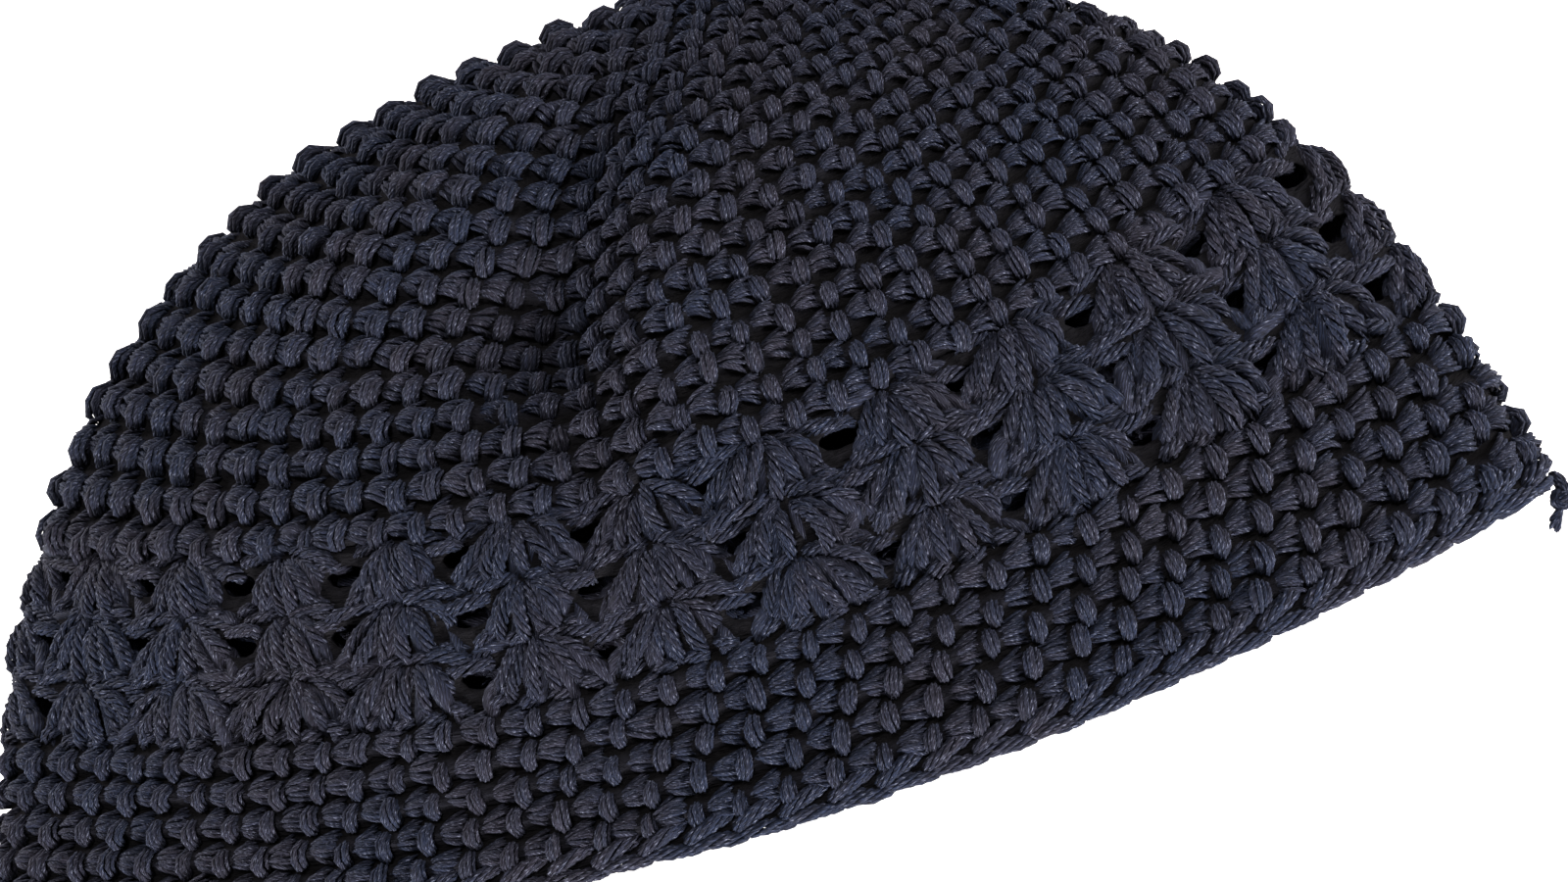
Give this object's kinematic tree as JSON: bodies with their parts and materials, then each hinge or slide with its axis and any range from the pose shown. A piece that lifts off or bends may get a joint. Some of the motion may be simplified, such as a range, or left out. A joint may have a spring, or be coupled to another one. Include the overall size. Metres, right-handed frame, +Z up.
{
  "type": "crocheted kufi",
  "caption": "Navy crocheted kufi cap lying flattened on its side, with a plain crown and rim, an openwork shell-stitch band and a chain edging.",
  "frame": {"origin": "middle of the flattened underside, on the table", "axes": "+X along the rim to the right fold, +Y from the rim to the top of the crown, +Z up from the table"},
  "size_m": [0.2555, 0.16, 0.0301],
  "materials": {
    "navy_yarn": "twisted plied yarn with a soft sheen"
  },
  "bodies": {
    "root": {"crown": "navy_yarn", "shell_band": "navy_yarn", "rim_band": "navy_yarn", "edge_chain": "navy_yarn", "yarn_tail": "navy_yarn"}
  },
  "joints": []
}
